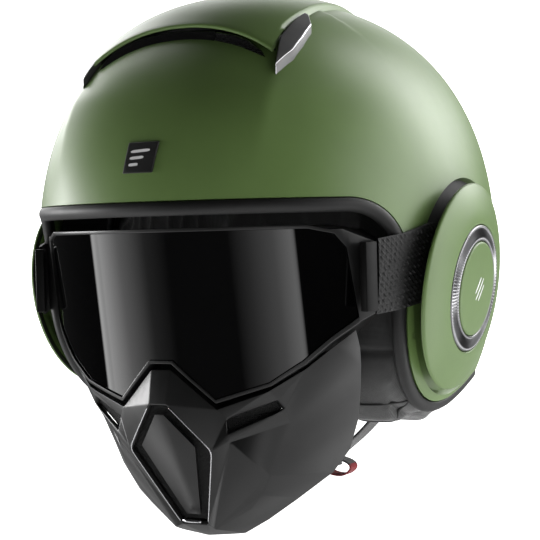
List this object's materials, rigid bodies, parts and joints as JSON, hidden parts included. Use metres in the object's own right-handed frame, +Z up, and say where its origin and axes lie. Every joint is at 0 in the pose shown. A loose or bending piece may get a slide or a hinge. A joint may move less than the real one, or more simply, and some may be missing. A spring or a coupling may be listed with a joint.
{
  "type": "open face motorcycle helmet",
  "caption": "Open face motorcycle helmet with a clip-on goggle and faceted chin mask, side covers with turning dials, crown vent, padded lining and ratchet chin strap.",
  "frame": {"origin": "on the ground plane under the middle of the overall box, the helmet standing on its chin and nape rim", "axes": "+Z up, +Y towards the back of the helmet, +X towards the wearer's left; the helmet is tipped back 14.7 degrees from its wearing attitude"},
  "size_m": [0.2726, 0.3136, 0.2809],
  "materials": {
    "badge_plate": "dark grey plastic with a plain raised mark",
    "black_rubber": "soft charcoal rubber edging",
    "buckle_metal": "blackened steel buckle",
    "cheek_cloth": "dark grey brushed fabric with leatherette edging",
    "comfort_cloth": "soft black knitted lining",
    "elastic": "charcoal woven elastic with a diagonal texture",
    "face_foam": "black open-cell foam",
    "filter_cloth": "fine black filter mesh",
    "foam_black": "moulded expanded foam, black",
    "frame_black": "satin black moulding",
    "gunmetal": "dark brushed gunmetal",
    "knurled_metal": "dark anodised knurling",
    "mask_black": "matte black moulding with bright edges",
    "red_ribbon": "dark red ribbon",
    "shell_green": "satin olive green paint",
    "smoke_lens": "glossy smoke lens",
    "steel": "plain steel",
    "tongue_plastic": "black toothed plastic strip",
    "webbing": "black polyester webbing"
  },
  "bodies": {
    "helmet": {"aperture_beading": "black_rubber", "base_beading": "black_rubber", "buckle_body": "buckle_metal", "buckle_pin": "steel", "cheek_pad_left": "cheek_cloth", "cheek_pad_right": "cheek_cloth", "chin_rivet_left": "steel", "chin_rivet_right": "steel", "chin_strap_left": "webbing", "chin_strap_right": "webbing", "comfort_liner": "comfort_cloth", "crown_scoop": "shell_green", "eps_liner": "foam_black", "front_badge": "badge_plate", "goggle_strap_left": "elastic", "goggle_strap_right": "elastic", "neck_roll": "cheek_cloth", "outer_shell": "shell_green", "side_cover_left": "shell_green", "side_cover_right": "shell_green", "strap_anchor_left": "frame_black", "strap_anchor_right": "frame_black", "vent_fascia": "gunmetal", "vent_plate_left": "gunmetal", "vent_plate_right": "gunmetal"},
    "face_unit": {"goggle_frame": "frame_black", "goggle_lens": "smoke_lens", "goggle_foam": "face_foam", "goggle_outrigger_left": "frame_black", "goggle_outrigger_right": "frame_black"},
    "mask": {"mask_filter": "filter_cloth", "mask_front_panel": "mask_black", "mask_peg_left": "mask_black", "mask_peg_right": "mask_black", "mask_shell": "mask_black", "mask_slot_mesh_left": "filter_cloth", "mask_slot_mesh_right": "filter_cloth"},
    "dial_left": {"knurled_ring_left": "knurled_metal", "centre_cap_left": "shell_green"},
    "dial_right": {"knurled_ring_right": "knurled_metal", "centre_cap_right": "shell_green"},
    "shutter": {"vent_shutter": "frame_black"},
    "lever": {"buckle_lever": "buckle_metal", "pull_tab": "red_ribbon"},
    "tongue": {"ratchet_tongue": "tongue_plastic"}
  },
  "joints": [
    {"name": "face_unit_pull", "type": "slide", "parent": "helmet", "child": "face_unit", "axis": [0, -0.9671, 0.2545], "range_m": [0, 0.025], "stiffness_N_per_m": 400, "springref_m": -0.015, "deforming": ["goggle_strap_left", "goggle_strap_right"]},
    {"name": "mask_release", "type": "slide", "parent": "face_unit", "child": "mask", "axis": [0, -0.2545, -0.9671], "range_m": [0, 0.012]},
    {"name": "dial_left_turn", "type": "hinge", "parent": "helmet", "child": "dial_left", "pos_m": [0.131, -0.02319, 0.10892], "axis": [0.9903, -0.0354, -0.1346], "range_deg": [0, 90]},
    {"name": "dial_right_turn", "type": "hinge", "parent": "helmet", "child": "dial_right", "pos_m": [-0.131, -0.02319, 0.10892], "axis": [-0.9903, -0.0354, -0.1346], "range_deg": [0, 90]},
    {"name": "shutter_slide", "type": "hinge", "parent": "helmet", "child": "shutter", "pos_m": [0, -0.11139, 0.12308], "axis": [0, -0.9671, 0.2545], "range_deg": [0, 2.2]},
    {"name": "lever_lift", "type": "hinge", "parent": "helmet", "child": "lever", "pos_m": [0.012, -0.03833, 0.01172], "axis": [0, -0.9671, 0.2545], "range_deg": [0, 35], "stiffness_Nm_per_rad": 0.05, "springref_deg": -11.46},
    {"name": "tongue_pull", "type": "slide", "parent": "helmet", "child": "tongue", "axis": [-1, 0, 0], "range_m": [0, 0.012], "deforming": ["chin_strap_right"]}
  ]
}
